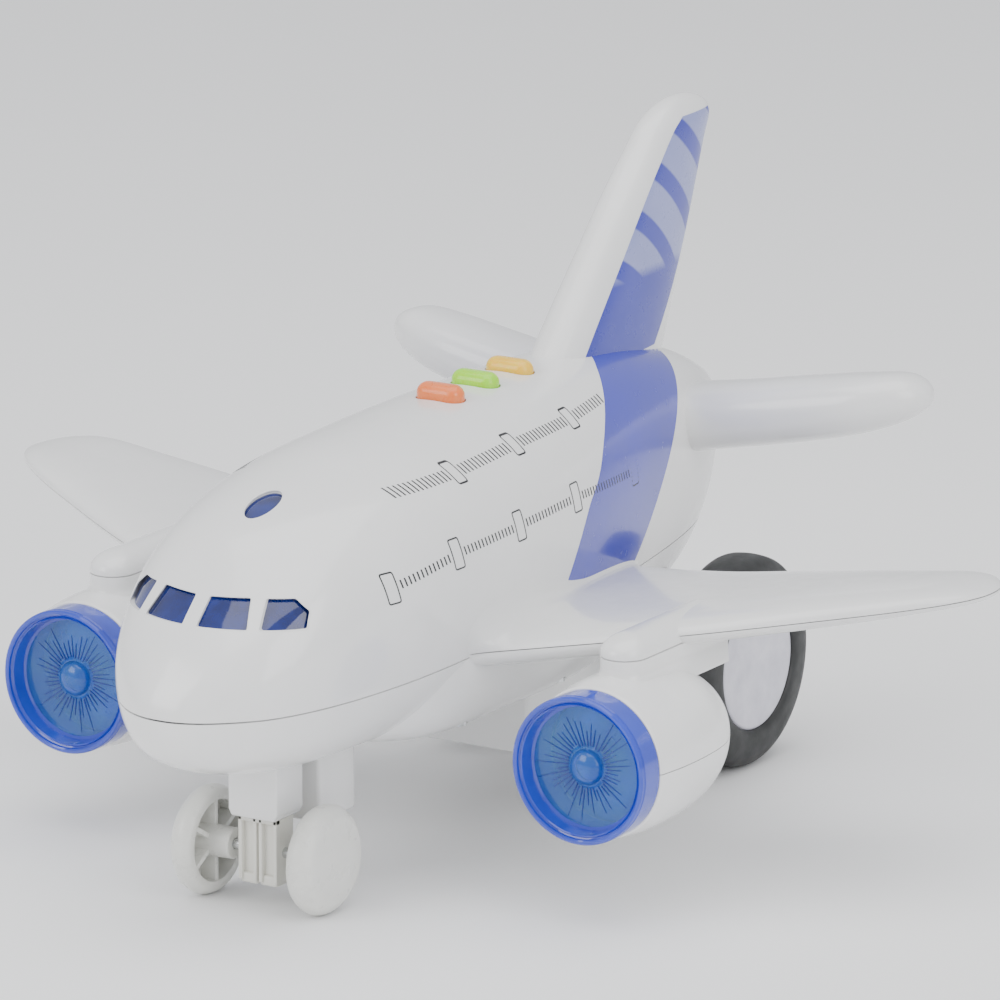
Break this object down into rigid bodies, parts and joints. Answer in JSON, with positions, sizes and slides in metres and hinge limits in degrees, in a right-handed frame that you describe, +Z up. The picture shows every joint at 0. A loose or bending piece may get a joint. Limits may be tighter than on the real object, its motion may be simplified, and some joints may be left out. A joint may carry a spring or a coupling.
{
  "type": "toy airplane",
  "caption": "Friction-drive toy airplane with push buttons on its spine, lit engine fans, rolling nose wheels and large rear wheels.",
  "frame": {"origin": "centre of the bounding box's base, on the ground under the wheels", "axes": "+Z up, the nose points to -Y, +X is the port side"},
  "size_m": [0.315, 0.2814, 0.186],
  "materials": {
    "white_shell": "glossy injection-moulded ABS, printed livery",
    "cream_plastic": "satin moulded polypropylene",
    "blue_clear": "clear blue moulded polystyrene",
    "foil": "crimped metallised foil",
    "led": "clear epoxy lamp",
    "button_orange": "translucent plastic",
    "button_green": "translucent plastic",
    "button_yellow": "translucent plastic",
    "silicone": "matt silicone rubber",
    "circuit_board": "green solder mask",
    "epoxy": "black potting",
    "steel": "bright zinc",
    "speaker_metal": "pressed steel and paper cone",
    "cell_wrap": "printed film over a steel can",
    "gear_plastic": "natural acetal",
    "hub_plastic": "pale moulded plastic",
    "tyre_rubber": "soft black rubber"
  },
  "bodies": {
    "airframe": {"upper_shell": "white_shell", "lower_shell": "white_shell", "wing_underside_port": "white_shell", "wing_underside_starboard": "white_shell", "tail_fin": "white_shell", "stabiliser_port": "white_shell", "stabiliser_starboard": "white_shell", "nacelle_upper_port": "white_shell", "nacelle_upper_starboard": "white_shell", "nacelle_lower_port": "white_shell", "nacelle_lower_starboard": "white_shell", "nose_leg": "white_shell", "battery_door": "white_shell", "fan_cover_port": "blue_clear", "fan_cover_starboard": "blue_clear", "cockpit_window": "blue_clear", "top_window": "blue_clear", "reflector_port": "foil", "reflector_starboard": "foil", "engine_led_port": "led", "engine_led_starboard": "led", "cabin_led": "led", "button_pad": "silicone", "button_board": "circuit_board", "main_board": "circuit_board", "sound_chip": "epoxy", "board_screws": "steel", "battery_contacts": "steel", "battery_door_screw": "steel", "shell_screws": "steel", "speaker": "speaker_metal", "battery_cells": "cell_wrap", "gearbox_port": "gear_plastic", "gearbox_starboard": "gear_plastic"},
    "button_orange_body": {"button_orange": "button_orange"},
    "button_green_body": {"button_green": "button_green"},
    "button_yellow_body": {"button_yellow": "button_yellow"},
    "nose_axle_body": {"nose_axle": "steel", "nose_wheel_port": "cream_plastic", "nose_wheel_starboard": "cream_plastic"},
    "rear_axle_body": {"rear_axle": "steel", "axle_gear": "gear_plastic", "rear_hub_port": "hub_plastic", "rear_hub_starboard": "hub_plastic", "tyre_port": "tyre_rubber", "tyre_starboard": "tyre_rubber"},
    "reduction_body": {"reduction_gear": "gear_plastic", "reduction_pin": "steel"},
    "flywheel_body": {"flywheel": "steel", "flywheel_pinion": "gear_plastic", "flywheel_pin": "steel"}
  },
  "joints": [
    {"name": "press_orange", "type": "slide", "parent": "airframe", "child": "button_orange_body", "axis": [0, 0, -1], "range_m": [0, 0.0016], "stiffness_N_per_m": 600, "springref_m": -0.0005},
    {"name": "press_green", "type": "slide", "parent": "airframe", "child": "button_green_body", "axis": [0, 0, -1], "range_m": [0, 0.0016], "stiffness_N_per_m": 600, "springref_m": -0.0005},
    {"name": "press_yellow", "type": "slide", "parent": "airframe", "child": "button_yellow_body", "axis": [0, 0, -1], "range_m": [0, 0.0016], "stiffness_N_per_m": 600, "springref_m": -0.0005},
    {"name": "nose_wheels_spin", "type": "hinge", "parent": "airframe", "child": "nose_axle_body", "pos_m": [0, -0.0904, 0.0152], "axis": [1, 0, 0], "continuous": true},
    {"name": "rear_wheels_spin", "type": "hinge", "parent": "airframe", "child": "rear_axle_body", "pos_m": [0, 0.0938, 0.0308], "axis": [1, 0, 0], "continuous": true},
    {"name": "reduction_spin", "type": "hinge", "parent": "airframe", "child": "reduction_body", "pos_m": [0, 0.0874, 0.0381], "axis": [1, 0, 0], "continuous": true},
    {"name": "flywheel_spin", "type": "hinge", "parent": "airframe", "child": "flywheel_body", "pos_m": [0, 0.0773, 0.0401], "axis": [1, 0, 0], "continuous": true}
  ],
  "couplings": [
    {"joint": "reduction_spin", "follows": "rear_wheels_spin", "ratio": -2.2},
    {"joint": "flywheel_spin", "follows": "rear_wheels_spin", "ratio": 5.28}
  ]
}
